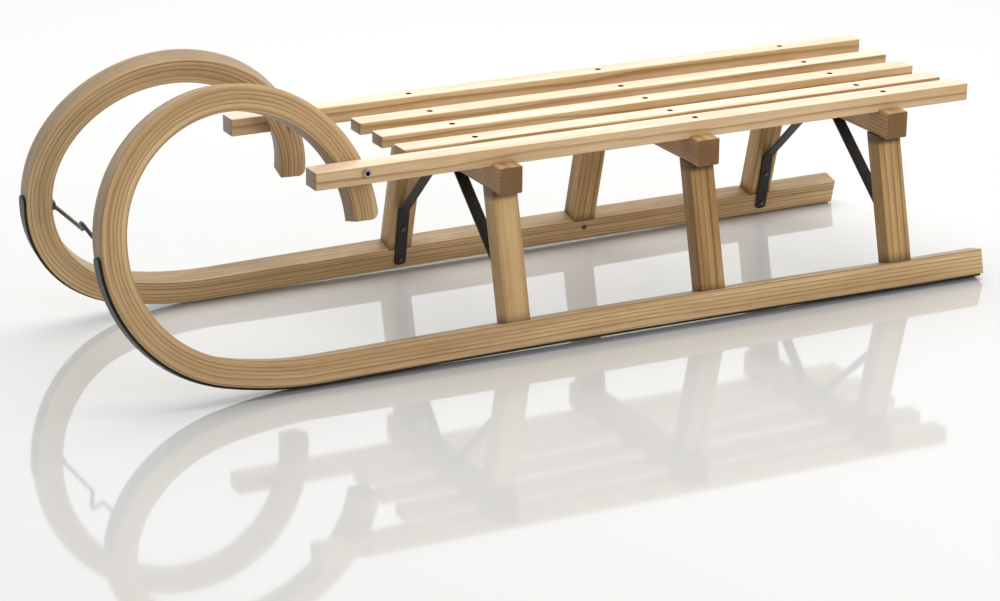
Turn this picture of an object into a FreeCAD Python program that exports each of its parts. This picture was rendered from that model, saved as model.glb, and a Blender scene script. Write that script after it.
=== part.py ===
"""Horned wooden sledge: bent ash runners, three trestles, five slats and steel fittings.

Frame: +X forward (towards the horns), +Y left, +Z up, origin on the floor at the middle of the
sledge's bounding box. Millimetres. Each runner stands in a leaning plane, its "side frame":
local X runs forward, local Y across the runner (outward on the left side) and local Z up the plane.
"""
import FreeCAD, Part
import math
import os
from FreeCAD import Placement, Rotation, Vector

doc = FreeCAD.newDocument("horned_sledge")
LEFT, RIGHT = 1, -1
SIDES = ((LEFT, "left"), (RIGHT, "right"))

# ---------------------------------------------------------------- driving dimensions
DIMENSIONS = dict(
    # seat
    seat_height=227.4, slat_width=30.0, slat_thick=15.0, outer_slat_thick=22.0,
    slat_length=774.0, outer_slat_length=917.0, slat_rear=-398.5, right_slat_shift=2.2,
    inner_pitch=63.0, outer_pitch=124.5, slat_round=1.2, slat_end_round=3.0,
    # trestles
    front_trestle=273.0, middle_trestle=0.0, rear_trestle=-277.0,
    beam_width=31.0, beam_length=322.0, beam_depth=31.0, ear_height=3.5, beam_round=2.2,
    leg_width=33.5, leg_inset=2.0, leg_round=1.2,
    front_leg_shift=-1.3, middle_leg_shift=-0.4, rear_leg_shift=1.2,
    tenon_width=19.0, tenon_thick=13.0, tenon_depth=16.0, housing_height=34.0,
    # runners
    runner_width=28.0, runner_depth=32.0, runner_round=1.5, runner_half_gauge=179.5,
    cant_angle=14.3, toe_angle=0.45, curl_toe_angle=4.2,
    runner_rear=-402.0, arch_angle=0.745, arch_radius=30770.0,
    nose_x=534.5, nose_radius=473.0, nose_angle=14.0,
    curl_radius=157.0, curl_angle=126.0, horn_radius=162.5, horn_angle=131.5,
    horn_round=9.0, splice_angle=1.5, end_round=5.0,
    # rails under the runners
    rail_width=18.0, rail_thick=3.0, rail_setback=4.0, rail_tip_round=8.0, rail_round=0.6,
    # braces
    brace_width=15.5, brace_thick=3.0, brace_offset=-3.0, brace_foot=13.0, brace_bend=95.0,
    brace_top_half=26.0, brace_gap=0.2, brace_top_gap=0.35, brace_lean=2.4, brace_bend_radius=9.0,
    brace_foot_round=5.0,
    # pull bar between the curls
    bar_diameter=5.0, bar_foot_thick=4.0, bar_foot_height=11.0, bar_foot_length=13.0,
    bar_kink_half=18.0, bar_kink_rise=16.0, bar_kink_forward=9.0, bar_heading=84.6,
    bar_foot_inset=7.0, bar_bend_radius=6.0, bar_screw_head=5.4, bar_screw_length=20.0,
    # fasteners
    screw_head=8.0, screw_head_depth=2.4, screw_shank=4.0, screw_length=35.0,
    outer_screw_length=50.0, pan_head=6.6, pan_height=2.2, pan_length=20.0,
    brace_screw_lower=21.0, brace_screw_upper=67.5, brace_top_screw=12.0, middle_screw=24.7,
    rail_screw_heading=40.0, rail_screw_length=18.0, rail_screw_head=7.0,
    bolt_x=453.0, bolt_rise=3.0, bolt_head=11.0, bolt_head_height=3.6, bolt_head_round=1.8,
    bolt_shank=6.0, bolt_socket=4.0, nut_width=10.0, nut_height=5.0, washer_diameter=14.0, washer_thick=1.5,
    spot_diameter=15.0, spot_face=81.0,
    # distance from the middle trestle to the middle of the sledge's box
    origin_shift=192.24,
)
sheet = doc.addObject("Spreadsheet::Sheet", "Sheet")
for row, (alias, value) in enumerate(DIMENSIONS.items(), start=1):
    sheet.set("A%d" % row, alias)
    sheet.set("B%d" % row, str(value))
    sheet.setAlias("B%d" % row, alias)
doc.recompute()


def dim(alias):
    """Value of one driving dimension, read back from the sheet."""
    return float(sheet.get(alias))


def bind(obj, **sizes):
    """Tie properties of an object to expressions over the sheet, or set plain numbers."""
    for prop, size in sizes.items():
        if isinstance(size, str):
            obj.setExpression(prop, size)
        else:
            setattr(obj, prop, size)
    return obj


# ---------------------------------------------------------------- places
TRESTLES = (("front", dim("front_trestle")), ("middle", dim("middle_trestle")),
            ("rear", dim("rear_trestle")))
SLATS = (("outer_left", dim("outer_pitch")), ("inner_left", dim("inner_pitch")), ("centre", 0.0),
         ("inner_right", -dim("inner_pitch")), ("outer_right", -dim("outer_pitch")))
BEAM_BOTTOM = dim("seat_height") - dim("beam_depth")
INNER_FACE = -dim("runner_width") / 2
WOOD_BASE = dim("rail_thick")
WOOD_MIDDLE = WOOD_BASE + dim("runner_depth") / 2
CLEAR = 40.0   # how far a cutting block reaches past the wood it trims


def side_frame(side):
    """Placement of a side's leaning frame: its lowest rail edge touches the floor."""
    cant = math.radians(dim("cant_angle"))
    corner = dim("rail_round")
    lift = (dim("rail_width") / 2 - corner) * math.sin(cant) + corner * (1 - math.cos(cant))
    lean = Rotation(Vector(1, 0, 0), side * dim("cant_angle"))
    toe = Rotation(Vector(0, 0, 1), -side * dim("toe_angle"))
    return Placement(Vector(0, side * dim("runner_half_gauge"), lift), toe * lean)


def in_side(side, x, across, up, rotation=Rotation()):
    """Placement at a point of a side's frame; across is outward on both sides."""
    return side_frame(side).multiply(Placement(Vector(x, side * across, up), rotation))


# ---------------------------------------------------------------- small builders
def add(kind, name, **sizes):
    return bind(doc.addObject(kind, name), **sizes)


def block(name, length, width, height, place):
    """Box centred on its length and width, standing on its base."""
    box = add("Part::Box", name, Length=length, Width=width, Height=height)
    doc.recompute()
    shift = Placement(Vector(-box.Length.Value / 2, -box.Width.Value / 2, 0), Rotation())
    box.Placement = place.multiply(shift)
    return box


def rounded(base, radius, keep):
    """Fillet the straight edges of a box-like object that keep(direction) accepts."""
    doc.recompute()
    chosen = []
    for number, edge in enumerate(base.Shape.Edges, start=1):
        direction = base.Placement.Rotation.inverted().multVec(edge.tangentAt(edge.FirstParameter))
        if keep(direction):
            chosen.append((number, radius, radius))
    fillet = doc.addObject("Part::Fillet", base.Name + "_round")
    fillet.Base = base
    fillet.Edges = chosen
    return fillet


def along_z(direction):
    return abs(direction.z) > 0.99


def group(name, members):
    compound = doc.addObject("Part::Compound", name)
    compound.Links = members
    return compound


def cut(name, base, tools):
    result = doc.addObject("Part::Cut", name)
    result.Base = base
    result.Tool = tools[0] if len(tools) == 1 else group(name + "_tools", tools)
    return result


def fuse(name, members):
    result = doc.addObject("Part::MultiFuse", name)
    result.Shapes = members
    return result


def countersunk_screw(name, place, head, length):
    """Screw along local -Z with its flat head face at the origin of its placement."""
    cone = add("Part::Cone", name + "_head", Radius1="Sheet.screw_shank / 2",
               Radius2=head + " / 2", Height="Sheet.screw_head_depth")
    cone.Placement = place.multiply(Placement(Vector(0, 0, -dim("screw_head_depth")), Rotation()))
    shank = add("Part::Cylinder", name + "_shank", Radius="Sheet.screw_shank / 2",
                Height=length + " - Sheet.screw_head_depth")
    doc.recompute()
    drop = shank.Height.Value + dim("screw_head_depth")
    shank.Placement = place.multiply(Placement(Vector(0, 0, -drop), Rotation()))
    return fuse(name, [cone, shank])


def pan_screw(name, place, length):
    """Screw along local -Z with a domed head standing on the origin plane."""
    head = add("Part::Cylinder", name + "_head", Radius="Sheet.pan_head / 2",
               Height="Sheet.pan_height")
    head.Placement = place
    doc.recompute()
    top = [number for number, edge in enumerate(head.Shape.Edges, start=1)
           if edge.Curve.TypeId == "Part::GeomCircle"
           and head.Placement.inverse().multVec(edge.CenterOfMass).z > dim("pan_height") / 2]
    dome = doc.addObject("Part::Fillet", name + "_dome")
    dome.Base = head
    dome.Edges = [(number, dim("pan_height") * 0.6, dim("pan_height") * 0.6) for number in top]
    shank = add("Part::Cylinder", name + "_shank", Radius="Sheet.screw_shank / 2", Height=length)
    doc.recompute()
    shank.Placement = place.multiply(Placement(Vector(0, 0, -shank.Height.Value), Rotation()))
    return fuse(name, [dome, shank])


def finish_node(obj, label):
    """Give a finished sub-part its own name and list it for export."""
    obj.Label = label
    NODES.append(obj)
    return obj


NODES = []


# ---------------------------------------------------------------- bent bars
def bottom_runs(offset, past=0.0):
    """(radius, turn in degrees) of the run from the rear flat to the foremost point.

    offset moves the line outward (down) from the wood's middle line, so that the radii of arcs
    that curve upward grow with it, and the radius of the slight arch under the sledge shrinks.
    """
    arch = dim("arch_angle")
    up = dim("nose_radius") + offset
    first_curl = 90 + past - dim("nose_angle")
    return ((up, arch), (dim("arch_radius") - offset, -2 * arch),
            (up, arch + dim("nose_angle")), (dim("curl_radius") + offset, first_curl))


def arc_chain(x, z, heading, runs):
    """Tangent arcs in a plane from a start point and heading: geometry, end point, end heading."""
    pieces = []
    for radius, turn in runs:
        side = 1 if turn > 0 else -1
        normal = math.radians(heading + 90 * side)
        centre = Vector(x + radius * math.cos(normal), z + radius * math.sin(normal), 0)
        start = math.radians(heading - 90 * side)
        stop = math.radians(heading + turn - 90 * side)
        circle = Part.Circle(centre, Vector(0, 0, 1), radius)
        pieces.append(Part.ArcOfCircle(circle, min(start, stop), max(start, stop)))
        x = centre.x + radius * math.cos(stop)
        z = centre.y + radius * math.sin(stop)
        heading += turn
    return pieces, x, z, heading


def bottom_path(offset, rear_x, past=0.0):
    """Line and arcs from the rear end to past degrees beyond the foremost point of the curl."""
    z = WOOD_MIDDLE - offset
    arch_run = 2 * (dim("arch_radius") + dim("nose_radius")) * math.sin(math.radians(dim("arch_angle")))
    flat_end = dim("nose_x") - arch_run
    line = Part.LineSegment(Vector(rear_x, z, 0), Vector(flat_end, z, 0))
    arcs, x, z_end, heading = arc_chain(flat_end, z, 0.0, bottom_runs(offset, past))
    return [line] + arcs, x, z_end


def origin_plane(body, role):
    return next(feature for feature in body.Origin.OriginFeatures if feature.Role == role)


def sketch_on(body, name, role, offset):
    sketch = body.newObject("Sketcher::SketchObject", name)
    sketch.AttachmentSupport = [(origin_plane(body, role), "")]
    sketch.MapMode = "FlatFace"
    sketch.AttachmentOffset = offset
    return sketch


def rounded_rectangle(sketch, centre_x, centre_y, width, height, radius):
    """Closed rounded rectangle about a centre."""
    half_w, half_h = width / 2, height / 2
    corners = ((half_w, -half_h, -90), (half_w, half_h, 0), (-half_w, half_h, 90),
               (-half_w, -half_h, 180))
    arcs = []
    for corner_x, corner_y, start in corners:
        inner = Vector(centre_x + corner_x - math.copysign(radius, corner_x),
                       centre_y + corner_y - math.copysign(radius, corner_y), 0)
        circle = Part.Circle(inner, Vector(0, 0, 1), radius)
        arcs.append(Part.ArcOfCircle(circle, math.radians(start), math.radians(start + 90)))
    for index, arc in enumerate(arcs):
        sketch.addGeometry(arc, False)
    for index, arc in enumerate(arcs):
        following = arcs[(index + 1) % len(arcs)]
        sketch.addGeometry(Part.LineSegment(arc.EndPoint, following.StartPoint), False)


def pipe(body, name, profile, path, count):
    feature = body.newObject("PartDesign::AdditivePipe", name)
    feature.Profile = profile
    feature.Spine = (path, ["Edge%d" % (number + 1) for number in range(count)])
    feature.Mode = "Standard"
    doc.recompute()
    return feature


FRONT_X, FRONT_Z = bottom_path(0.0, dim("runner_rear"))[1:]


def horn_arcs():
    """Arcs of the horn from the foremost point of the curl, which is their origin."""
    rest = dim("curl_angle") + dim("nose_angle") - 90
    return arc_chain(0.0, 0.0, 90.0, ((dim("curl_radius"), rest),
                                      (dim("horn_radius"), dim("horn_angle"))))


def horn_turn(side):
    """Placement, in a side's frame, of the horn swung in about the vertical at its front."""
    cant = math.radians(dim("cant_angle"))
    upright = Vector(0, side * math.sin(cant), math.cos(cant))
    return Placement(Vector(FRONT_X, 0, FRONT_Z), Rotation(upright, side * dim("curl_toe_angle")))


def runner_blank(side, word):
    """Bent bar before its joints are cut: leaning lower run and curl, then the horn toed in."""
    body = doc.addObject("PartDesign::Body", "runner_blank_" + word)
    body.Placement = side_frame(side)
    width, depth, radius = dim("runner_width"), dim("runner_depth"), dim("runner_round")
    rear = Placement(Vector(0, 0, dim("runner_rear")), Rotation())
    profile = sketch_on(body, "rear_section_" + word, "YZ_Plane", rear)
    rounded_rectangle(profile, 0, WOOD_MIDDLE, width, depth, radius)
    path = sketch_on(body, "lower_path_" + word, "XZ_Plane", Placement())
    pieces = bottom_path(0.0, dim("runner_rear"), dim("splice_angle"))[0]
    for piece in pieces:
        path.addGeometry(piece, False)
    doc.recompute()
    pipe(body, "lower_run_" + word, profile, path, len(pieces))
    section = sketch_on(body, "front_section_" + word, "XY_Plane", horn_turn(side))
    rounded_rectangle(section, 0, 0, depth, width, radius)
    cant = math.radians(dim("cant_angle"))
    in_sketch = Rotation(Vector(0, math.cos(cant), -side * math.sin(cant)),
                         side * dim("curl_toe_angle"))
    upper = sketch_on(body, "horn_path_" + word, "XZ_Plane",
                      Placement(Vector(FRONT_X, FRONT_Z, 0), in_sketch))
    arcs, end_x, end_z, heading = horn_arcs()
    for arc in arcs:
        upper.addGeometry(arc, False)
    doc.recompute()
    pipe(body, "horn_" + word, section, upper, len(arcs))
    body.Tip = body.Group[-1]
    doc.recompute()
    return body


def wedge(name, place, radius, width):
    """Tool that rounds a corner: local X and Z run into the wood, local Y along the corner."""
    square = add("Part::Box", name + "_square", Length=radius + CLEAR, Width=width,
                 Height=radius + CLEAR)
    square.Placement = place.multiply(Placement(Vector(-CLEAR, -width / 2, -CLEAR), Rotation()))
    disc = add("Part::Cylinder", name + "_disc", Radius=radius, Height=width)
    turn = Rotation(Vector(1, 0, 0), -90)
    disc.Placement = place.multiply(Placement(Vector(radius, -width / 2, radius), turn))
    return cut(name, square, [disc])


def corner_tools(name, place, half, radius, width):
    """Two wedges that round both corners of an end of half-width half: local Z runs inward."""
    tools = []
    for index, flip in enumerate((0, 180)):
        turned = place.multiply(Placement(Vector(0, 0, 0), Rotation(Vector(0, 0, 1), flip)))
        corner = turned.multiply(Placement(Vector(-half, 0, 0), Rotation()))
        tools.append(wedge("%s_%d" % (name, index + 1), corner, radius, width))
    return tools


# ---------------------------------------------------------------- runners
ARCH_MIDDLE = dim("nose_x") - (dim("arch_radius") + dim("nose_radius")) * math.sin(
    math.radians(dim("arch_angle")))
REAR_TURN = Rotation(Vector(0, 1, 0), 90)          # local Z forward, local X down


def curl_point(side, heading, inward, across=0.0):
    """Placement on the lower curl at a heading; local Z points at the curl's centre."""
    radius = dim("curl_radius") - inward
    angle = math.radians(heading)
    x = FRONT_X - dim("curl_radius") + radius * math.sin(angle)
    z = FRONT_Z - radius * math.cos(angle)
    return in_side(side, x, across, z, Rotation(Vector(0, 1, 0), -heading))


def horn_end(side):
    """Placement at the middle of the horn's end face; local Z runs back into the wood."""
    arcs, x, z, heading = horn_arcs()
    tilt = Rotation(Vector(0, 1, 0), 270 - heading)
    end = Placement(Vector(x, 0, z), tilt)
    return side_frame(side).multiply(horn_turn(side)).multiply(end)


def shaped_runner(side, word):
    """Runner blank with its ends rounded."""
    tools = corner_tools("horn_corner_" + word, horn_end(side), dim("runner_depth") / 2,
                         dim("horn_round"), 2 * CLEAR)[:1]
    rear = in_side(side, dim("runner_rear"), 0, WOOD_MIDDLE, REAR_TURN)
    on_edge = rear.multiply(Placement(Vector(0, 0, 0), Rotation(Vector(0, 0, 1), 90)))
    tools += corner_tools("rear_corner_" + word, on_edge, dim("runner_width") / 2,
                          dim("end_round"), 2 * CLEAR)
    return cut("runner_shape_" + word, runner_blank(side, word), tools)


# ---------------------------------------------------------------- rails
def rail_height(x):
    """Height of a rail's lower face in the side frame at x along the slight arch."""
    if abs(x - ARCH_MIDDLE) > dim("nose_x") - ARCH_MIDDLE:
        return 0.0
    radius = dim("arch_radius") - WOOD_MIDDLE
    rise = (dim("arch_radius") + dim("nose_radius")) * (1 - math.cos(math.radians(dim("arch_angle"))))
    return rise - radius + math.sqrt(radius ** 2 - (x - ARCH_MIDDLE) ** 2)


def rail_screw_places(side):
    for x in (dim("runner_rear") + 25, dim("rear_trestle") + 138, ARCH_MIDDLE, dim("nose_x") - 130):
        yield in_side(side, x, 0, rail_height(x), Rotation(Vector(1, 0, 0), 180))
    tip = curl_point(side, dim("rail_screw_heading"), -WOOD_MIDDLE)
    yield tip.multiply(Placement(Vector(0, 0, 0), Rotation(Vector(1, 0, 0), 180)))


def rail(side, word, screws):
    body = doc.addObject("PartDesign::Body", "rail_strip_" + word)
    body.Placement = side_frame(side)
    offset = WOOD_MIDDLE - dim("rail_thick") / 2
    rear_x = dim("runner_rear") + dim("rail_setback")
    profile = sketch_on(body, "rail_section_" + word, "YZ_Plane",
                        Placement(Vector(0, 0, rear_x), Rotation()))
    rounded_rectangle(profile, 0, dim("rail_thick") / 2, dim("rail_width"), dim("rail_thick"),
                      dim("rail_round"))
    path = sketch_on(body, "rail_path_" + word, "XZ_Plane", Placement())
    pieces, end_x, end_z = bottom_path(offset, rear_x)
    for piece in pieces:
        path.addGeometry(piece, False)
    doc.recompute()
    body.Tip = pipe(body, "rail_sweep_" + word, profile, path, len(pieces))
    tip = in_side(side, end_x, 0, end_z, Rotation(Vector(1, 0, 0), 180))
    on_edge = tip.multiply(Placement(Vector(0, 0, 0), Rotation(Vector(0, 0, 1), 90)))
    tools = corner_tools("rail_tip_" + word, on_edge, dim("rail_width") / 2,
                         dim("rail_tip_round"), CLEAR)
    return cut("rail_drilled_" + word, body, tools + [screws])


# ---------------------------------------------------------------- legs and beams
def leg(side, word, trestle, x):
    """Leaning post with a tenon at each end: its foot is housed in the runner."""
    name = "leg_%s_%s" % (trestle, word)
    x += dim(trestle + "_leg_shift")
    middle = -dim("leg_inset") / 2
    post = block(name + "_post", "Sheet.leg_width", "Sheet.runner_width - Sheet.leg_inset",
                 BEAM_BOTTOM + CLEAR, in_side(side, x, middle, dim("housing_height")))
    post = rounded(post, dim("leg_round"), along_z)
    core = block(name + "_tenon", "Sheet.tenon_width", "Sheet.tenon_thick",
                 BEAM_BOTTOM + 2 * CLEAR,
                 in_side(side, x, middle, dim("housing_height") - dim("tenon_depth")))
    shoulder = block(name + "_above", 2 * CLEAR, 4 * CLEAR, 3 * CLEAR,
                     Placement(Vector(x, side * dim("outer_pitch"), BEAM_BOTTOM), Rotation()))
    top = block(name + "_top", 2 * CLEAR, 4 * CLEAR, 3 * CLEAR,
                Placement(Vector(x, side * dim("outer_pitch"), BEAM_BOTTOM + dim("tenon_depth")),
                          Rotation()))
    return fuse(name + "_stick", [cut(name + "_cut", post, [shoulder]),
                                  cut(name + "_core", core, [top])])


def beam(trestle, x):
    """Crossbeam with a shallow recess for the slats between its raised ends."""
    name = "beam_" + trestle
    whole = block(name + "_bar", "Sheet.beam_width", "Sheet.beam_length",
                  "Sheet.beam_depth + Sheet.ear_height",
                  Placement(Vector(x, 0, BEAM_BOTTOM), Rotation()))
    whole = rounded(whole, dim("beam_round"), lambda direction: True)
    recess = block(name + "_recess", 2 * CLEAR, "2 * Sheet.outer_pitch + Sheet.slat_width", CLEAR,
                   Placement(Vector(x, 0, dim("seat_height")), Rotation()))
    return cut(name + "_stock", whole, [recess])


# ---------------------------------------------------------------- slats
def slat(word, y):
    outer = word.startswith("outer")
    length = "outer_slat_length" if outer else "slat_length"
    thick = "outer_slat_thick" if outer else "slat_thick"
    shift = dim("right_slat_shift") if word == "outer_right" else 0
    middle = dim("slat_rear") + shift + dim(length) / 2
    board = block("slat_board_" + word, "Sheet." + length, "Sheet.slat_width", "Sheet." + thick,
                  Placement(Vector(middle, y, dim("seat_height")), Rotation()))
    board = rounded(board, dim("slat_end_round"), along_z)
    return rounded(board, dim("slat_round"), lambda direction: not along_z(direction))


def slat_screws(trestle, x):
    """One countersunk screw per slat, except where the left outer slat has its horn bolt."""
    members = []
    for word, y in SLATS:
        if (trestle, word) == ("front", "outer_left"):
            continue
        outer = word.startswith("outer")
        thick = dim("outer_slat_thick") if outer else dim("slat_thick")
        length = "Sheet.outer_screw_length" if outer else "Sheet.screw_length"
        place = Placement(Vector(x, y, dim("seat_height") + thick), Rotation())
        members.append(countersunk_screw("slat_screw_%s_%s" % (trestle, word), place,
                                         "Sheet.screw_head", length))
    return group("slat_screw_set_" + trestle, members)


# ---------------------------------------------------------------- braces
def filleted_path(points, radius):
    """Lines through the points with an arc of the given radius at each inner corner."""
    pieces = []
    start = points[0]
    for before, corner, after in zip(points, points[1:], points[2:]):
        into = (corner - before).normalize()
        out = (after - corner).normalize()
        turn = into.getAngle(out)
        reach = radius * math.tan(turn / 2)
        first, last = corner - into * reach, corner + out * reach
        bisector = (out - into).normalize()
        middle = corner + bisector * (radius / math.cos(turn / 2) - radius)
        pieces.append(Part.LineSegment(start, first))
        pieces.append(Part.Arc(first, middle, last))
        start = last
    pieces.append(Part.LineSegment(start, points[-1]))
    return pieces


def brace_point(x, height, away):
    """Point of the left brace's path in the YZ plane, given by height up the runner plane."""
    point = in_side(LEFT, x, INNER_FACE - away, height).Base
    return Vector(point.y, point.z, 0)


def brace_lean(x):
    """Slight forward lean of a whole brace about the level of its lower screws."""
    pivot = Placement(Vector(x, 0, dim("brace_screw_lower")), Rotation())
    lean = Placement(Vector(0, 0, 0), Rotation(Vector(0, 1, 0), dim("brace_lean")))
    return pivot.multiply(lean).multiply(pivot.inverse())


def brace(trestle, x):
    """Flat strip from runner to runner: up both legs, then bent up to the middle of the beam."""
    away = dim("brace_thick") / 2 + dim("brace_gap")
    top = BEAM_BOTTOM - dim("brace_thick") / 2 - dim("brace_top_gap")
    body = doc.addObject("PartDesign::Body", "brace_strip_" + trestle)
    body.Placement = brace_lean(x)
    points = [Vector(0, top, 0), Vector(dim("brace_top_half"), top, 0),
              brace_point(x, dim("brace_bend"), away), brace_point(x, dim("brace_foot"), away)]
    profile = sketch_on(body, "brace_section_" + trestle, "XZ_Plane", Placement())
    rounded_rectangle(profile, x, top, dim("brace_width"), dim("brace_thick"), dim("rail_round"))
    path = sketch_on(body, "brace_path_" + trestle, "YZ_Plane",
                     Placement(Vector(0, 0, x), Rotation()))
    pieces = filleted_path(points, dim("brace_bend_radius"))
    for piece in pieces:
        path.addGeometry(piece, False)
    doc.recompute()
    half = pipe(body, "brace_half_" + trestle, profile, path, len(pieces))
    mirrored = body.newObject("PartDesign::Mirrored", "brace_whole_" + trestle)
    mirrored.Originals = [half]
    mirrored.MirrorPlane = (origin_plane(body, "XZ_Plane"), [""])
    body.Tip = mirrored
    doc.recompute()
    tools = []
    for side, word in SIDES:
        foot = brace_lean(x).multiply(in_side(side, x, INNER_FACE - away, dim("brace_foot")))
        tools += corner_tools("brace_foot_%s_%s" % (trestle, word), foot, dim("brace_width") / 2,
                              dim("brace_foot_round"), CLEAR)
    return body, tools


def brace_screws(trestle, x):
    """Two domed screws on each leg's foot and two up into the beam."""
    members = []
    surface = INNER_FACE - dim("brace_thick") - dim("brace_gap")
    for side, word in SIDES:
        inward = Rotation(Vector(1, 0, 0), side * 90)
        for level in ("lower", "upper"):
            place = in_side(side, x, surface, dim("brace_screw_" + level), inward)
            members.append(pan_screw("brace_screw_%s_%s_%s" % (trestle, word, level),
                                     brace_lean(x).multiply(place), "Sheet.pan_length"))
        underside = BEAM_BOTTOM - dim("brace_top_gap") - dim("brace_thick")
        up = Placement(Vector(x, side * dim("brace_top_screw"), underside),
                       Rotation(Vector(1, 0, 0), 180))
        members.append(pan_screw("brace_screw_%s_%s_top" % (trestle, word),
                                 brace_lean(x).multiply(up), "Sheet.pan_length"))
    return group("brace_screw_set_" + trestle, members)


# ---------------------------------------------------------------- pull bar
def bar_foot_place(side):
    """Placement on the hollow face of the curl; local Z leaves the wood towards the centre."""
    gap = dim("bar_foot_height") ** 2 / 8 / (dim("curl_radius") - dim("runner_depth") / 2)
    return curl_point(side, dim("bar_heading"), dim("runner_depth") / 2 + gap,
                      -dim("bar_foot_inset"))


def pull_bar(screws):
    """Round bar between the curls with a bend at mid-span and flattened ends."""
    feet = {side: bar_foot_place(side) for side, word in SIDES}
    seat = dim("bar_foot_thick") / 2
    end = feet[LEFT].multiply(Placement(Vector(0, 0, seat), Rotation())).Base
    kink = math.atan2(dim("bar_kink_rise"), dim("bar_kink_forward"))
    depth = math.hypot(dim("bar_kink_rise"), dim("bar_kink_forward"))
    body = doc.addObject("PartDesign::Body", "pull_bar_rod")
    # local X across the sledge, local Y along the bend's depth
    body.Placement = Placement(Vector(end.x, 0, end.z), Rotation(
        Vector(0, 1, 0), Vector(math.cos(kink), 0, math.sin(kink)), Vector(0, 0, 1), "XYZ"))
    straight = end.y
    half = dim("bar_kink_half")
    points = [Vector(-straight, 0, 0), Vector(-half, 0, 0), Vector(0, depth, 0),
              Vector(half, 0, 0), Vector(straight, 0, 0)]
    profile = sketch_on(body, "bar_section", "YZ_Plane",
                        Placement(Vector(0, 0, -straight), Rotation()))
    circle = Part.Circle(Vector(0, 0, 0), Vector(0, 0, 1), dim("bar_diameter") / 2)
    profile.addGeometry(circle, False)
    path = sketch_on(body, "bar_path", "XY_Plane", Placement())
    pieces = filleted_path(points, dim("bar_bend_radius"))
    for piece in pieces:
        path.addGeometry(piece, False)
    doc.recompute()
    body.Tip = pipe(body, "bar_sweep", profile, path, len(pieces))
    plates = []
    for side, word in SIDES:
        plate = block("bar_foot_" + word, "Sheet.bar_foot_height", "Sheet.bar_foot_length",
                      "Sheet.bar_foot_thick", feet[side])
        plates.append(rounded(plate, dim("bar_foot_thick"), along_z))
    return cut("pull_bar_drilled", fuse("pull_bar_whole", [body] + plates), [screws])


def pull_bar_screws():
    members = []
    for side, word in SIDES:
        top = bar_foot_place(side).multiply(
            Placement(Vector(0, 0, dim("bar_foot_thick")), Rotation()))
        members.append(countersunk_screw("bar_screw_" + word, top, "Sheet.bar_screw_head",
                                         "Sheet.bar_screw_length"))
    return group("bar_screw_set", members)


# ---------------------------------------------------------------- horn bolts
def horn_bolt_parts():
    """Bolt, washer and nut that clamp each horn to the inside of its outer slat."""
    slat_face = dim("outer_pitch") + dim("slat_width") / 2
    height = dim("seat_height") + dim("outer_slat_thick") / 2 + dim("bolt_rise")
    bolts, washers, nuts, spots = [], [], [], {}
    for side, word in SIDES:
        outward = Rotation(Vector(1, 0, 0), -90 * side)

        def at(y):
            return Placement(Vector(dim("bolt_x"), side * y, height), outward)

        head = add("Part::Cylinder", "bolt_head_" + word, Radius="Sheet.bolt_head / 2",
                   Height="Sheet.bolt_head_height")
        head.Placement = at(slat_face)
        shank_end = dim("spot_face") - dim("washer_thick") - dim("nut_height") - 2
        shank = add("Part::Cylinder", "bolt_shank_" + word, Radius="Sheet.bolt_shank / 2",
                    Height=slat_face - shank_end)
        shank.Placement = at(shank_end)
        socket = add("Part::Prism", "bolt_socket_" + word, Polygon="6",
                     Circumradius="Sheet.bolt_socket / 2 / cos(30 deg)",
                     Height="Sheet.bolt_head_height")
        socket.Placement = at(slat_face + dim("bolt_head_height") / 2)
        bolts.append(cut("bolt_" + word, fuse("bolt_solid_" + word, [rounded_head(head), shank]),
                         [socket]))
        washer_y = dim("spot_face") - dim("washer_thick")
        washer = add("Part::Cylinder", "washer_disc_" + word, Radius="Sheet.washer_diameter / 2",
                     Height="Sheet.washer_thick")
        washer.Placement = at(washer_y)
        nut = add("Part::Prism", "nut_block_" + word, Polygon="6",
                  Circumradius="Sheet.nut_width / 2 / cos(30 deg)", Height="Sheet.nut_height")
        nut.Placement = at(washer_y - dim("nut_height"))
        washers.append(cut("washer_" + word, washer, [shank]))
        nuts.append(cut("nut_" + word, nut, [shank]))
        spot = add("Part::Cylinder", "spot_" + word, Radius="Sheet.spot_diameter / 2",
                   Height=CLEAR)
        spot.Placement = at(dim("spot_face") - CLEAR)
        spots[side] = spot
    return (group("horn_bolt_pair", bolts), group("horn_washer_pair", washers),
            group("horn_nut_pair", nuts), spots)


def rounded_head(head):
    """Dome the outer rim of a bolt head."""
    doc.recompute()
    rim = [(number, dim("bolt_head_round"), dim("bolt_head_round"))
           for number, edge in enumerate(head.Shape.Edges, start=1)
           if edge.Curve.TypeId == "Part::GeomCircle"
           and head.Placement.inverse().multVec(edge.CenterOfMass).z > 1]
    dome = doc.addObject("Part::Fillet", head.Name + "_dome")
    dome.Base = head
    dome.Edges = rim
    return dome


# ---------------------------------------------------------------- assembly
BRACED = [(word, x + dim("brace_offset")) for word, x in TRESTLES if word != "middle"]
legs = {(side, trestle): leg(side, word, trestle, x)
        for side, word in SIDES for trestle, x in TRESTLES}
slat_screw_sets = {trestle: slat_screws(trestle, x) for trestle, x in TRESTLES}
brace_screw_sets = {trestle: brace_screws(trestle, x) for trestle, x in BRACED}
bar_screws = pull_bar_screws()
middle_screws = group("runner_screw_pair", [
    pan_screw("runner_screw_" + word,
              in_side(side, dim("brace_offset"), INNER_FACE, dim("middle_screw"),
                      Rotation(Vector(1, 0, 0), side * 90)), "Sheet.pan_length")
    for side, word in SIDES])
bolts, washers, nuts, spots = horn_bolt_parts()
slats = {word: slat(word, y) for word, y in SLATS}
origin_x = Placement(Vector(-dim("origin_shift"), 0, 0), Rotation())
doc.recompute()

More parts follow.
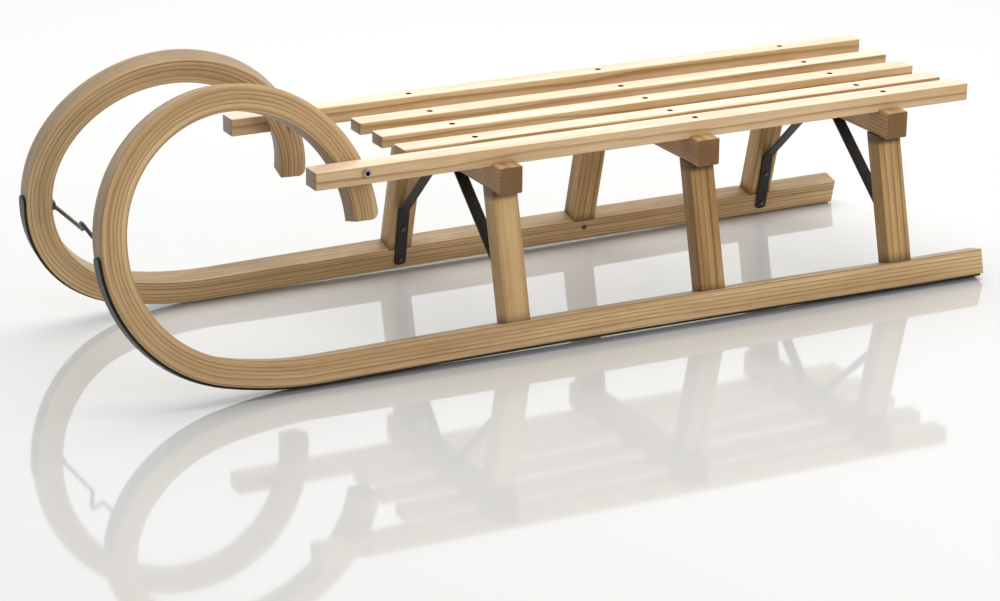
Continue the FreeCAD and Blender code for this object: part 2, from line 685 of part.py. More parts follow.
wood = []
for side, word in SIDES:
    rail_screws = group("rail_screw_set_" + word, [
        countersunk_screw("rail_screw_%s_%d" % (word, number), place, "Sheet.rail_screw_head",
                          "Sheet.rail_screw_length")
        for number, place in enumerate(rail_screw_places(side), start=1)])
    bearing = block("bearing_" + word, dim("outer_slat_length"), dim("slat_width"), 2 * CLEAR,
                    Placement(Vector(dim("slat_rear") + dim("outer_slat_length") / 2
                                     + dim("right_slat_shift"),
                                     side * dim("outer_pitch"), dim("seat_height") - CLEAR),
                              Rotation()))
    own_legs = [legs[side, trestle] for trestle, x in TRESTLES]
    fixings = [middle_screws, rail_screws, bar_screws, bolts] + list(brace_screw_sets.values())
    runner = cut("runner_cut_" + word, shaped_runner(side, word),
                 own_legs + fixings + [bearing, spots[side]])
    finish_node(runner, "runner_" + word)
    finish_node(rail(side, word, rail_screws), "rail_" + word)
    finish_node(rail_screws, "rail_screws_" + word)
    for trestle, x in TRESTLES:
        fixings = [slat_screw_sets[trestle]]
        fixings.append(brace_screw_sets[trestle] if trestle in brace_screw_sets else middle_screws)
        drilled = cut("leg_drilled_%s_%s" % (trestle, word), legs[side, trestle], fixings)
        finish_node(drilled, "leg_%s_%s" % (trestle, word))

for trestle, x in TRESTLES:
    fixings = [slat_screw_sets[trestle]] + [legs[side, trestle] for side, word in SIDES]
    if trestle in brace_screw_sets:
        fixings.append(brace_screw_sets[trestle])
    finish_node(cut("beam_cut_" + trestle, beam(trestle, x), fixings), "crossbeam_" + trestle)
    finish_node(slat_screw_sets[trestle], "slat_screws_" + trestle)

for word, y in SLATS:
    fixings = list(slat_screw_sets.values()) + ([bolts] if word.startswith("outer") else [])
    finish_node(cut("slat_cut_" + word, slats[word], fixings), "slat_" + word)

for trestle, x in BRACED:
    strip, feet = brace(trestle, x)
    finish_node(cut("brace_cut_" + trestle, strip, feet + [brace_screw_sets[trestle]]),
                "brace_" + trestle)
    finish_node(brace_screw_sets[trestle], "brace_screws_" + trestle)

finish_node(middle_screws, "runner_screws_middle")
finish_node(pull_bar(bar_screws), "pull_bar")
finish_node(bar_screws, "pull_bar_screws")
finish_node(bolts, "horn_bolts")
finish_node(washers, "horn_washers")
finish_node(nuts, "horn_nuts")

# ---------------------------------------------------------------- checks and export
doc.recompute()
for obj in doc.Objects:
    if "Invalid" in obj.State or "Error" in obj.State:
        raise RuntimeError("%s: %s" % (obj.Name, obj.State))

os.makedirs("parts", exist_ok=True)
for node in NODES:
    node.Placement = origin_x.multiply(node.Placement)
doc.recompute()
for node in NODES:
    if node.Shape.isNull() or not node.Shape.isValid():
        raise RuntimeError("bad shape: " + node.Label)
    node.Shape.exportStep("parts/%s.step" % node.Label)
    print(node.Label, len(node.Shape.Solids), round(node.Shape.Volume))
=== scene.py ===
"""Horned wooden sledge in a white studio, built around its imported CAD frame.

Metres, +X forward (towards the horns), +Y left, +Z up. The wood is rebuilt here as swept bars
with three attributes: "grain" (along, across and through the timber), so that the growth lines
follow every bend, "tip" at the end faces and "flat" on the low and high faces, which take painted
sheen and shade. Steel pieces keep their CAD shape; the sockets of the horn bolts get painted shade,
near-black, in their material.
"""
import bmesh
import bpy
import math
from mathutils import Matrix, Vector


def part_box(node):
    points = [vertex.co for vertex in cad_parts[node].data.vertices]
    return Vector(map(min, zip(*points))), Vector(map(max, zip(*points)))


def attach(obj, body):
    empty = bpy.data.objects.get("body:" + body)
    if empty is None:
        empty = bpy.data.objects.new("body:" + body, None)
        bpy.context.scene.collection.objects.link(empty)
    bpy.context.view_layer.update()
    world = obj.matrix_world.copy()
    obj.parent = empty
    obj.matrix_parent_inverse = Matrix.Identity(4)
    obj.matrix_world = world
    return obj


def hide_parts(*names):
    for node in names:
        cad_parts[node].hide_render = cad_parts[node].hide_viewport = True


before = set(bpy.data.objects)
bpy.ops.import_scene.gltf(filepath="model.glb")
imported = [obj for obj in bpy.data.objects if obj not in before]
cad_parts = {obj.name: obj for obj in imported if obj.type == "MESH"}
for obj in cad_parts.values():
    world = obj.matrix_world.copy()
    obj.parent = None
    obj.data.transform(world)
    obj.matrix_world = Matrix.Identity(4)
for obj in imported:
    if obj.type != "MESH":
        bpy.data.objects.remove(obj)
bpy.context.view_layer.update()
MM = 0.001
SIDES = {"left": 1, "right": -1}
TRESTLES = ("front", "middle", "rear")
SLATS = ("outer_left", "inner_left", "centre", "inner_right", "outer_right")

# ------------------------------------------------------------ driving dimensions, as in the CAD
RUNNER_WIDTH = 28 * MM
RUNNER_DEPTH = 32 * MM
RUNNER_ROUND = 1.6 * MM
HALF_GAUGE = 179.5 * MM
CANT = math.radians(14.3)
TOE = math.radians(0.45)
HORN_TOE = math.radians(4.2)
RAIL_THICK = 3 * MM
RAIL_WIDTH = 18 * MM
RAIL_ROUND = 0.6 * MM
ARCH_ANGLE = math.radians(0.745)
ARCH_RADIUS = 30770 * MM
NOSE_RADIUS = 473 * MM
NOSE_ANGLE = math.radians(14)
CURL_RADIUS = 157 * MM
CURL_ANGLE = math.radians(126)
HORN_RADIUS = 162.5 * MM
HORN_ANGLE = math.radians(131.5)
HORN_ROUND = 9 * MM
LEG_INSET = 2 * MM
LEG_FOOT = 34 * MM
LEG_WIDTH = 33.5 * MM
LEG_ROUND = 1.3 * MM
BEAM_ROUND = 2.3 * MM
SLAT_ROUND = 1.3 * MM
WOOD_MIDDLE = RAIL_THICK + RUNNER_DEPTH / 2
NOSE_X = 534.5 * MM       # from the middle trestle, as are the next two
RUNNER_REAR = -402 * MM
FLAT_END = NOSE_X - 2 * (ARCH_RADIUS + NOSE_RADIUS) * math.sin(ARCH_ANGLE)


def lower(node):
    return Vector(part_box(node)[0])


def upper(node):
    return Vector(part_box(node)[1])


def middle(node):
    return (lower(node) + upper(node)) / 2


TRESTLE_X = {trestle: middle("crossbeam_" + trestle).x for trestle in TRESTLES}
BEAM_BOTTOM = lower("crossbeam_middle").z
SEAT = lower("slat_centre").z
ORIGIN_X = TRESTLE_X["middle"]
LIFT = (RAIL_WIDTH / 2 - RAIL_ROUND) * math.sin(CANT) + RAIL_ROUND * (1 - math.cos(CANT))


def side_frame(side):
    """Leaning frame of a runner: X forward, Y across (outward on the left), Z up the plane."""
    return (Matrix.Translation((ORIGIN_X, side * HALF_GAUGE, LIFT))
            @ Matrix.Rotation(-side * TOE, 4, "Z") @ Matrix.Rotation(side * CANT, 4, "X"))


# ------------------------------------------------------------ swept bars
CORNER_STEPS = 4
FACE_STEPS = 3
END_STEPS = 7
TIP_REACH = 0.8 * MM      # the tip attribute fades out over this distance from an end


def section_outline(half, low, high, corner):
    """Points (across, through) of a rounded rectangle: the same number whatever its size."""
    radius = max(min(corner, half * 0.98, (high - low) * 0.49), 0.01 * MM)
    corners = ((half, low, -90), (half, high, 0), (-half, high, 90), (-half, low, 180))
    arcs = []
    for across, through, start in corners:
        centre_a = across - math.copysign(radius, across)
        centre_t = through + (radius if through == low else -radius)
        arcs.append([(centre_a + radius * math.cos(math.radians(start + 90 * step / CORNER_STEPS)),
                      centre_t + radius * math.sin(math.radians(start + 90 * step / CORNER_STEPS)))
                     for step in range(CORNER_STEPS + 1)])
    points = []
    for index, arc in enumerate(arcs):
        points += arc
        (a0, t0), (a1, t1) = arc[-1], arcs[(index + 1) % len(arcs)][0]
        for step in range(1, FACE_STEPS):
            share = step / FACE_STEPS
            points.append((a0 + (a1 - a0) * share, t0 + (t1 - t0) * share))
    return points


def eased(distance, radius):
    """How far a face is pulled in at a distance from an end rounded to a radius."""
    if distance >= radius:
        return 0.0
    return radius - math.sqrt(radius ** 2 - (radius - distance) ** 2)


def stops_along(length, radii, spacing, breaks):
    """Distances along a bar for its stations, closer together in the rounded ends."""
    depths = [1 - math.sin(math.pi / 2 * step / END_STEPS) for step in range(END_STEPS + 1)]
    near = [radii[0] * depth for depth in depths]
    far = [length - radii[1] * depth for depth in depths]
    inner = length - radii[0] - radii[1]
    steps = max(2, round(inner / spacing))
    even = [radii[0] + inner * step / steps for step in range(1, steps)]
    return sorted(near + even + far + list(breaks))


def build_bar(name, place_at, length, half, profile, corner, seed, start=(1, 1, 1), end=(1, 1, 1),
              spacing=12 * MM, breaks=(), shape=lambda point: point):
    """Rounded bar swept through place_at(along), with grain, tip and flat attributes.

    profile(along) gives its low and high faces; start and end hold the radii, in mm, that round
    the ends of its side, low and high faces.
    """
    vertices, grain, tips, flats = [], [], [], []
    shift = Vector((0.37 * seed, 0.053 * seed, 0.031 * seed))
    radii = [max(start) * MM, max(end) * MM]
    stops = stops_along(length, radii, spacing, breaks)
    for along in stops:
        side, under, over = (eased(along, first * MM) + eased(length - along, last * MM)
                             for first, last in zip(start, end))
        low, high = profile(along)
        low, high = low + under, high - over
        place = place_at(along)
        tip = max(0.0, 1 - min(along, length - along) / TIP_REACH)
        for across, through in section_outline(half - side, low, high, corner - side / 2):
            vertices.append(shape(place @ Vector((0, across, through))))
            grain.append(Vector((along, across, through)) + shift)
            tips.append(tip)
            flats.append(1.0 if min(through - low, high - through) < 0.02 * MM else 0.0)
    count = len(vertices) // len(stops)
    faces = []
    for ring in range(len(stops) - 1):
        first = ring * count
        for index in range(count):
            after = (index + 1) % count
            faces.append((first + index, first + after,
                          first + count + after, first + count + index))
    faces.append(tuple(reversed(range(count))))
    faces.append(tuple(range(len(vertices) - count, len(vertices))))
    mesh = bpy.data.meshes.new(name)
    mesh.from_pydata(vertices, [], faces)
    mesh.attributes.new("grain", "FLOAT_VECTOR", "POINT").data.foreach_set(
        "vector", [value for point in grain for value in point])
    mesh.attributes.new("tip", "FLOAT", "POINT").data.foreach_set("value", tips)
    mesh.attributes.new("flat", "FLOAT", "POINT").data.foreach_set("value", flats)
    return link_piece(name, mesh)


def link_piece(name, mesh, smooth_below=math.radians(40)):
    """Make an object of a mesh, with outward normals and smooth shading up to an angle."""
    work = bmesh.new()
    work.from_mesh(mesh)
    bmesh.ops.recalc_face_normals(work, faces=work.faces)
    work.to_mesh(mesh)
    work.free()
    for polygon in mesh.polygons:
        polygon.use_smooth = True
    mesh.set_sharp_from_angle(angle=smooth_below)
    piece = bpy.data.objects.new(name, mesh)
    bpy.context.scene.collection.objects.link(piece)
    return piece


def stand_for(piece, node, material):
    """Put a finished piece in place of its CAD node."""
    piece.data.materials.append(material)
    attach(piece, "root")
    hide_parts(node)
    return piece


# ------------------------------------------------------------ node graphs
class Graph:
    """Short helper for building a material's nodes."""

    def __init__(self, name):
        self.material = bpy.data.materials.new(name)
        self.material.use_nodes = True
        self.tree = self.material.node_tree
        self.shader = self.tree.nodes["Principled BSDF"]

    def node(self, kind, inputs=None, **settings):
        made = self.tree.nodes.new("ShaderNode" + kind)
        for key, value in settings.items():
            setattr(made, key, value)
        for key, value in (inputs or {}).items():
            self.feed(made.inputs[key], value)
        return made

    def feed(self, socket, value):
        if isinstance(value, bpy.types.NodeSocket):
            self.tree.links.new(value, socket)
        else:
            socket.default_value = value

    def math(self, operation, first, second=0.5, third=0.5, clamp=False):
        return self.node("Math", {0: first, 1: second, 2: third}, operation=operation,
                         use_clamp=clamp).outputs[0]

    def stretched(self, vector, scale, offset=(0, 0, 0)):
        moved = self.node("VectorMath", {0: vector, 1: scale, 2: offset}, operation="MULTIPLY_ADD")
        return moved.outputs[0]

    def noise(self, vector, detail=2.0, rough=0.5, scale=1.0):
        made = self.node("TexNoise", {"Vector": vector, "Scale": scale, "Detail": detail,
                                      "Roughness": rough})
        return made.outputs["Fac"]

    def span(self, value, low, high, to_low=0.0, to_high=1.0, smooth=False):
        made = self.node("MapRange", {"Value": value, "From Min": low, "From Max": high,
                                      "To Min": to_low, "To Max": to_high})
        made.interpolation_type = "SMOOTHSTEP" if smooth else "LINEAR"
        return made.outputs["Result"]

    def blend(self, share, first, second, mode="MIX"):
        made = self.node("Mix", data_type="RGBA", blend_type=mode)
        made.clamp_factor = True
        self.feed(made.inputs[0], share)
        self.feed(made.inputs[6], first)
        self.feed(made.inputs[7], second)
        return made.outputs[2]


def srgb(red, green, blue):
    """Shader colour of a display colour given from 0 to 255."""
    linear = [value / 255 / 12.92 if value <= 10 else ((value / 255 + 0.055) / 1.055) ** 2.4
              for value in (red, green, blue)]
    return (*linear, 1.0)


def wood(name, pale, deep, line, spacing, tilt, line_strength=0.6, flat_painted_light=(1, 1, 1),
         flat_lines=0.5, end_shade=0.42, roughness=0.42, gloss=0.4):
    """Varnished ash: growth lines across the direction at tilt degrees from the through axis.

    flat_painted_light multiplies the colour of the low and high faces, which show the lines only
    faintly: painted light, a sheen above one and shade below one.
    """
    g = Graph(name)
    grain = g.node("Attribute", attribute_name="grain").outputs["Vector"]
    tip = g.node("Attribute", attribute_name="tip").outputs["Fac"]
    flat = g.node("Attribute", attribute_name="flat").outputs["Fac"]
    split = g.node("SeparateXYZ", {0: grain})
    angle = math.radians(tilt)
    rise = g.math("MULTIPLY", split.outputs[2], math.cos(angle))
    depth = g.math("MULTIPLY_ADD", split.outputs[1], math.sin(angle), rise)
    # growth lines: slow sway, fine ripple and uneven spacing from year to year
    sway = g.noise(g.stretched(grain, (3.2, 22, 22)), 1.5, 0.5)
    swayed = g.math("MULTIPLY_ADD", g.math("SUBTRACT", sway, 0.5), 7 * MM, depth)
    ripple = g.noise(g.stretched(grain, (14, 90, 90)), 2.0, 0.5)
    bent = g.math("MULTIPLY_ADD", g.math("SUBTRACT", ripple, 0.5), 1.3 * MM, swayed)
    years = g.noise(g.node("CombineXYZ", {0: g.math("MULTIPLY", bent, 95.0)}).outputs[0], 0.0)
    rings = g.math("ADD", g.math("DIVIDE", bent, spacing), g.math("MULTIPLY", years, 1.3))
    phase = g.math("FRACT", rings)
    soft = g.math("MULTIPLY", g.span(phase, 0.2, 0.9, smooth=True), 0.32)
    sharp = g.math("MULTIPLY", g.span(phase, 0.68, 0.88, smooth=True), 0.68)
    late = g.math("MULTIPLY", g.math("ADD", soft, sharp), g.span(phase, 1.0, 0.93, smooth=True))
    early = g.span(phase, 0.0, 0.3, 1.0, 0.0, smooth=True)
    fading = g.noise(g.stretched(grain, (2.0, 60, 60), (4, 1, 7)), 1.0)
    strength = g.span(fading, 0.3, 0.7, 0.55, 1.0)
    # pores: short dark strokes, densest in the early wood of each ring
    stroke = g.noise(g.stretched(grain, (55, 1500, 1500)), 2.0, 0.6)
    pores = g.math("MULTIPLY", g.span(stroke, 0.56, 0.70, smooth=True),
                   g.span(early, 0, 1, 0.25, 1.0))
    fibre = g.noise(g.stretched(grain, (16, 620, 620), (9, 2, 5)), 3.0, 0.6)
    cloud = g.noise(g.stretched(grain, (2.3, 34, 34), (1, 8, 3)), 2.0, 0.5)
    colour = g.blend(g.span(cloud, 0.32, 0.68, smooth=True), pale, deep)
    shown = g.math("MULTIPLY", strength,
                   g.span(flat, 0, 1, line_strength, line_strength * flat_lines))
    colour = g.blend(g.math("MULTIPLY", late, shown), colour, line)
    streaks = g.math("MULTIPLY", g.span(fibre, 0.3, 0.7, 0.34, 0.0),
                     g.span(flat, 0, 1, 1.0, 1.7))
    colour = g.blend(streaks, colour, line)
    colour = g.blend(g.math("MULTIPLY", pores, g.span(flat, 0, 1, 0.42, 0.75)), colour, line)
    # painted light on the low and high faces: the tone multiplied in here paints a sheen where it
    # is above one and shade where it is below
    colour = g.blend(flat, colour, g.blend(1.0, colour, (*flat_painted_light, 1.0), "MULTIPLY"))
    # end faces take end_shade times the line colour: darker end grain; on the slats the low value
    # is partly painted shade on their front end faces
    ends = g.span(tip, 0.0, 0.6, 0.0, 0.78, smooth=True)
    colour = g.blend(ends, colour, tuple(end_shade * value for value in line[:3]) + (1.0,))
    g.feed(g.shader.inputs["Base Color"], colour)
    g.feed(g.shader.inputs["Roughness"],
           g.span(fibre, 0.2, 0.8, roughness - 0.07, roughness + 0.09))
    height = g.math("MULTIPLY_ADD", late, 0.35, g.math("MULTIPLY_ADD", pores, -0.8, fibre))
    bump = g.node("Bump", {"Height": height, "Strength": 0.22, "Distance": 0.25 * MM})
    g.feed(g.shader.inputs["Normal"], bump.outputs[0])
    g.shader.inputs["Specular IOR Level"].default_value = gloss
    return g.material


def metal(name, colour, worn, roughness, metallic, wear, scale=260.0, socket=None):
    """Steel with a mottled finish, fine scratches and brighter worn patches.

    socket is the (x, z, radius) of a recess along Y, painted near-black as painted shade inside it.
    """
    g = Graph(name)
    place = g.node("TexCoord").outputs["Object"]
    mottle = g.noise(place, 4.0, 0.6, scale)
    patch = g.noise(place, 3.0, 0.7, scale / 5)
    scratch = g.noise(g.stretched(place, (120, 900, 2600)), 2.0, 0.6)
    share = g.math("MULTIPLY", g.span(patch, 0.5, 0.75, smooth=True), wear)
    tone = g.blend(g.span(mottle, 0.3, 0.7, 0.0, 0.35), colour, worn)
    finish = g.blend(share, tone, worn)
    if socket:
        axis_x, axis_z, radius = socket
        level = g.stretched(place, (1, 0, 1), (-axis_x, 0, -axis_z))
        distance = g.node("VectorMath", {0: level}, operation="LENGTH").outputs["Value"]
        # painted shade in the recess: near-black inside the given radius, fading out over a tenth
        # of it
        inside = g.span(distance, radius, 1.1 * radius, 1.0, 0.0)
        finish = g.blend(inside, finish, (0.012, 0.012, 0.013, 1))
    g.feed(g.shader.inputs["Base Color"], finish)
    uneven = g.span(mottle, 0.2, 0.8, -0.06, 0.08)
    scratched = g.span(scratch, 0.3, 0.7, roughness - 0.05, roughness + 0.05)
    g.feed(g.shader.inputs["Roughness"], g.math("ADD", uneven, scratched))
    g.shader.inputs["Metallic"].default_value = metallic
    bump = g.node("Bump", {"Height": g.math("ADD", mottle, scratch), "Strength": 0.12,
                           "Distance": 0.15 * MM})
    g.feed(g.shader.inputs["Normal"], bump.outputs[0])
    return g.material


# ------------------------------------------------------------ materials
# the runners' low and high faces, the convex face of the curl among them, are darkened and greyed:
# painted shade
RUNNER_WOOD = wood("ash_runner", srgb(222, 189, 141), srgb(192, 157, 112), srgb(100, 68, 34),
                   spacing=5.4 * MM, tilt=0, line_strength=0.78,
                   flat_painted_light=(0.63, 0.66, 0.71), flat_lines=0.3)
# the legs' front and back faces are made a little darker, here and in ash_plain: painted shade
LEG_WOOD = wood("ash_leg", srgb(204, 166, 112), srgb(168, 130, 80), srgb(84, 54, 26),
                spacing=4.8 * MM, tilt=62, line_strength=0.66,
                flat_painted_light=(0.95, 0.94, 0.94))
PLAIN_WOOD = wood("ash_plain", srgb(216, 182, 130), srgb(190, 155, 104), srgb(116, 82, 44),
                  spacing=9 * MM, tilt=78, line_strength=0.5,
                  flat_painted_light=(0.95, 0.94, 0.94))
BEAM_WOOD = wood("ash_beam", srgb(196, 160, 112), srgb(164, 128, 82), srgb(96, 66, 34),
                 spacing=4.6 * MM, tilt=20, line_strength=0.85, end_shade=1.3)
# the slats' tops and undersides are made paler and brighter: a painted sheen
SLAT_WOOD = wood("ash_slat", srgb(226, 196, 152), srgb(208, 174, 126), srgb(154, 108, 58),
                 spacing=5.2 * MM, tilt=68, line_strength=0.85,
                 # end_shade 0.3: partly darker end grain, partly painted shade on the front end
                 # faces, which get little lamp light
                 flat_painted_light=(1.26, 1.42, 2.0), flat_lines=0.7, end_shade=0.3,
                 roughness=0.36, gloss=0.8)
BLACK_STEEL = metal("black_steel", srgb(38, 38, 40), srgb(78, 76, 74), 0.42, 0.6, 0.25)
BAR_STEEL = metal("bar_steel", srgb(84, 82, 80), srgb(130, 126, 120), 0.36, 0.9, 0.5)
ZINC = metal("zinc", srgb(176, 174, 168), srgb(214, 212, 206), 0.3, 1.0, 0.5)
# the horn bolts' hex sockets get painted shade: a near-black disc of 2.6 mm radius, a little wider
# than the socket
BOLT_ZINC_SOCKET_SHADE = metal("bolt_zinc_socket_shade", srgb(176, 174, 168), srgb(214, 212, 206), 0.24, 1.0, 0.5,
                  socket=(middle("horn_bolts").x, middle("horn_bolts").z, 2.6 * MM))
DULL_STEEL = metal("dull_steel", srgb(92, 84, 76), srgb(140, 130, 118), 0.45, 0.9, 0.4)


# ------------------------------------------------------------ runners
BENDS = ((NOSE_RADIUS, ARCH_ANGLE), (ARCH_RADIUS, -2 * ARCH_ANGLE),
         (NOSE_RADIUS, ARCH_ANGLE + NOSE_ANGLE), (CURL_RADIUS, CURL_ANGLE),
         (HORN_RADIUS, HORN_ANGLE))
RUNNER_LENGTH = FLAT_END - RUNNER_REAR + sum(radius * abs(turn) for radius, turn in BENDS)


def along_runner(distance):
    """(x, height, heading) of the wood's middle line in the side frame."""
    flat = FLAT_END - RUNNER_REAR
    x, height, heading = RUNNER_REAR + min(distance, flat), WOOD_MIDDLE, 0.0
    left = distance - flat
    for number, (radius, turn) in enumerate(BENDS):
        if left <= 0:
            break
        last = number == len(BENDS) - 1
        angle = left / radius if last else min(left / radius, abs(turn))
        angle = math.copysign(angle, turn)
        bend = math.copysign(radius, turn)
        x += bend * (math.sin(heading + angle) - math.sin(heading))
        height += bend * (math.cos(heading) - math.cos(heading + angle))
        heading += angle
        left -= radius * abs(turn)
    return x, height, heading


FORE_LENGTH = (FLAT_END - RUNNER_REAR + 2 * NOSE_RADIUS * ARCH_ANGLE + 2 * ARCH_RADIUS * ARCH_ANGLE
               + NOSE_RADIUS * NOSE_ANGLE + CURL_RADIUS * (math.pi / 2 - NOSE_ANGLE))
FORE_X, FORE_HEIGHT = along_runner(FORE_LENGTH)[:2]
SWING_REACH = math.radians(22)


def runner_place(side, distance):
    """Frame on a runner: X along the wood, Y across, Z towards the inside of the curl."""
    x, height, heading = along_runner(distance)
    share = min(max((heading - math.pi / 2) / SWING_REACH + 0.5, 0.0), 1.0)
    swing = side * HORN_TOE * share * share * (3 - 2 * share)
    pivot = Matrix.Translation(side_frame(side) @ Vector((FORE_X, 0, FORE_HEIGHT)))
    return (pivot @ Matrix.Rotation(swing, 4, "Z") @ pivot.inverted() @ side_frame(side)
            @ Matrix.Translation((x, 0, height)) @ Matrix.Rotation(-heading, 4, "Y"))


def make_runner(word, side, seed):
    """Bent runner and its horn in one sweep, from the heel to the horn's end."""
    half_depth = RUNNER_DEPTH / 2
    piece = build_bar(
        "runner_wood_" + word, lambda along: runner_place(side, along), RUNNER_LENGTH,
        RUNNER_WIDTH / 2, lambda along: (-half_depth, half_depth), RUNNER_ROUND, seed,
        start=(5, 1.5, 1.5), end=(1.5, HORN_ROUND / MM, 1.5), spacing=7 * MM)
    return stand_for(piece, "runner_" + word, RUNNER_WOOD)


for seed, (word, side) in enumerate(SIDES.items(), start=1):
    make_runner(word, side, seed)


# ------------------------------------------------------------ legs, crossbeams and slats
def make_leg(trestle, word, side, seed):
    """Leaning post from its housing in the runner to the underside of the crossbeam."""
    node = "leg_%s_%s" % (trestle, word)
    foot = Matrix.Translation((middle(node).x - ORIGIN_X, -side * LEG_INSET / 2, LEG_FOOT))
    upright = side_frame(side) @ foot @ Matrix.Rotation(math.radians(-90), 4, "Y")
    half_across = (RUNNER_WIDTH - LEG_INSET) / 2
    length = (BEAM_BOTTOM - (upright @ Vector()).z) / math.cos(CANT)
    lean = upright.to_3x3() @ Vector((1, 0, 0))

    def to_beam(point):
        """Slide the points of the upper end along the leg to the underside of the crossbeam."""
        if (upright.inverted() @ point).x < length - 0.5 * MM:
            return point
        return point + lean * ((BEAM_BOTTOM - point.z) / lean.z)

    piece = build_bar("leg_wood_%s_%s" % (trestle, word),
                      lambda along: upright @ Matrix.Translation((along, 0, 0)), length,
                      half_across, lambda along: (-LEG_WIDTH / 2, LEG_WIDTH / 2), LEG_ROUND, seed,
                      start=(0.4, 0.4, 0.4), end=(0.01, 0.01, 0.01), spacing=16 * MM, shape=to_beam)
    return stand_for(piece, node, PLAIN_WOOD if trestle == "front" else LEG_WOOD)


def make_beam(trestle, seed):
    """Crossbeam along Y, lower between its raised ends, where the slats lie."""
    node = "crossbeam_" + trestle
    low, high = lower(node), upper(node)
    length = high.y - low.y
    ear = low.y + length - upper("slat_outer_left").y
    start = (Matrix.Translation((TRESTLE_X[trestle], high.y, 0))
             @ Matrix.Rotation(math.radians(-90), 4, "Z"))
    gap = 0.25 * MM

    def profile(along):
        top = high.z if min(along, length - along) < ear - gap else SEAT
        return low.z, top

    piece = build_bar("beam_wood_" + trestle,
                      lambda along: start @ Matrix.Translation((along, 0, 0)), length,
                      (high.x - low.x) / 2, profile, BEAM_ROUND, seed,
                      start=(2.2, 2.2, 2.2), end=(2.2, 2.2, 2.2), spacing=20 * MM,
                      breaks=(ear - 1.3 * gap, ear - 0.7 * gap, length - ear + 0.7 * gap,
                              length - ear + 1.3 * gap))
    return stand_for(piece, node, BEAM_WOOD)


def make_slat(word, seed):
    """Straight slat along X, the whole size of its CAD node."""
    node = "slat_" + word
    low, high = lower(node), upper(node)
    start = Matrix.Translation((low.x, (low.y + high.y) / 2, 0))
    piece = build_bar("slat_wood_" + word,
                      lambda along: start @ Matrix.Translation((along, 0, 0)), high.x - low.x,
                      (high.y - low.y) / 2, lambda along: (low.z, high.z), SLAT_ROUND, seed,
                      start=(3, 1.3, 1.3), end=(3, 1.3, 1.3), spacing=25 * MM)
    return stand_for(piece, node, SLAT_WOOD)


for number, trestle in enumerate(TRESTLES):
    make_beam(trestle, 20 + number)
    for place, (word, side) in enumerate(SIDES.items()):
        make_leg(trestle, word, side, 7 + 2 * number + place)
for number, word in enumerate(SLATS):
    make_slat(word, 30 + number)

# ------------------------------------------------------------ steel nodes kept from the CAD
FINISHES = {"rail_left": BLACK_STEEL, "rail_right": BLACK_STEEL, "brace_front": BLACK_STEEL,
            "brace_rear": BLACK_STEEL, "pull_bar": BAR_STEEL, "pull_bar_screws": ZINC,
            "rail_screws_left": ZINC, "rail_screws_right": ZINC, "horn_bolts": BOLT_ZINC_SOCKET_SHADE,
            "horn_washers": ZINC, "horn_nuts": ZINC, "brace_screws_front": DULL_STEEL,
            "brace_screws_rear": DULL_STEEL, "runner_screws_middle": DULL_STEEL,
            "slat_screws_front": DULL_STEEL, "slat_screws_middle": DULL_STEEL,
            "slat_screws_rear": DULL_STEEL}
for node, material in FINISHES.items():
    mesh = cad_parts[node].data
    mesh.materials.clear()
    mesh.materials.append(material)

# ------------------------------------------------------------ studio
AZIMUTH = math.radians(152.753)
ELEVATION = math.radians(19.372)
ROLL = math.radians(0.52)
DISTANCE = 3.986
LENS = 113.29             # millimetres, on a sensor 36 mm wide
FRAME_SHIFT = -0.0017
FLOOR_REACH = 40.0
TARGET = Vector((0.00973, 0, 0.0029))


def studio_floor():
    mesh = bpy.data.meshes.new("floor")
    corners = [(x * FLOOR_REACH, y * FLOOR_REACH, 0)
               for x, y in ((-1, -1), (1, -1), (1, 1), (-1, 1))]
    mesh.from_pydata(corners, [], [(0, 1, 2, 3)])
    floor = bpy.data.objects.new("floor", mesh)
    bpy.context.scene.collection.objects.link(floor)
    g = Graph("polished_white")
    g.shader.inputs["Base Color"].default_value = (0.55, 0.55, 0.54, 1)
    g.shader.inputs["Roughness"].default_value = 0.05
    g.shader.inputs["IOR"].default_value = 2.0
    mesh.materials.append(g.material)


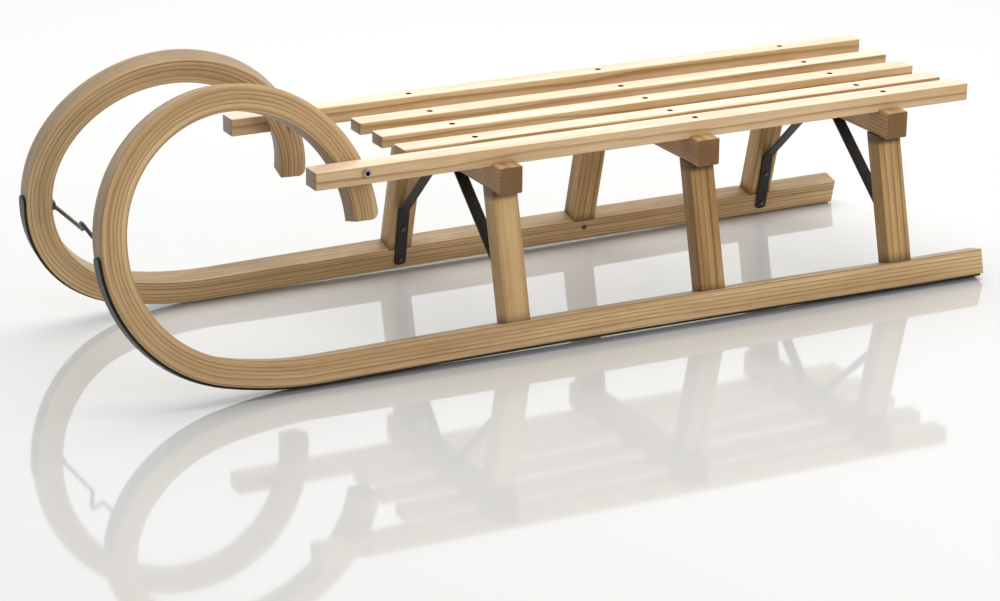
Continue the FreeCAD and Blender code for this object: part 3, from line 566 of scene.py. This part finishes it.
def studio_world(behind):
    """White backdrop behind the sledge and overhead, dimmer room behind the camera."""
    world = bpy.data.worlds.new("studio")
    world.use_nodes = True
    tree = world.node_tree
    background = tree.nodes["Background"]
    direction = tree.nodes.new("ShaderNodeTexCoord").outputs["Generated"]
    facing = tree.nodes.new("ShaderNodeVectorMath")
    facing.operation = "DOT_PRODUCT"
    facing.inputs[1].default_value = behind
    tree.links.new(direction, facing.inputs[0])
    level = tree.nodes.new("ShaderNodeMapRange")
    level.interpolation_type = "SMOOTHSTEP"
    for key, value in {"From Min": -0.3, "From Max": 0.75, "To Min": 0.36, "To Max": 1.28}.items():
        level.inputs[key].default_value = value
    tree.links.new(facing.outputs["Value"], level.inputs["Value"])
    tree.links.new(level.outputs["Result"], background.inputs["Strength"])
    background.inputs["Color"].default_value = (1, 1, 1, 1)
    bpy.context.scene.world = world


def soft_light(name, place, aim, size, power):
    light = bpy.data.lights.new(name, "AREA")
    light.shape = "RECTANGLE"
    light.size, light.size_y = size
    light.energy = power
    lamp = bpy.data.objects.new(name, light)
    lamp.location = place
    lamp.rotation_euler = (Vector(aim) - Vector(place)).to_track_quat("-Z", "Y").to_euler()
    lamp.visible_glossy = False     # no bright rectangles mirrored in the floor
    bpy.context.scene.collection.objects.link(lamp)


def studio_camera():
    """Set up the camera and return the direction from the target back to it."""
    back = Vector((math.sin(AZIMUTH) * math.cos(ELEVATION),
                   -math.cos(AZIMUTH) * math.cos(ELEVATION), math.sin(ELEVATION)))
    right = Vector((0, 0, 1)).cross(back).normalized()
    up = back.cross(right)
    rolled = right * math.cos(ROLL) + up * math.sin(ROLL)
    upright = up * math.cos(ROLL) - right * math.sin(ROLL)
    turn = Matrix((rolled, upright, back)).transposed()
    camera = bpy.data.cameras.new("camera")
    camera.sensor_width = 36
    camera.lens = LENS
    camera.shift_x = FRAME_SHIFT
    camera.shift_y = FRAME_SHIFT
    holder = bpy.data.objects.new("camera", camera)
    holder.matrix_world = Matrix.Translation(TARGET + back * DISTANCE) @ turn.to_4x4()
    bpy.context.scene.collection.objects.link(holder)
    bpy.context.scene.camera = holder
    return back


away = -studio_camera()
studio_floor()
studio_world((away.x, away.y, 0.25))
soft_light("overhead", (-0.4, -0.7, 2.4), (0, 0, 0.1), (3.6, 2.6), 68)
soft_light("side", (-0.9, 3.0, 1.7), (0, 0, 0.15), (3.2, 1.8), 52)
bpy.context.scene.view_settings.view_transform = "Standard"
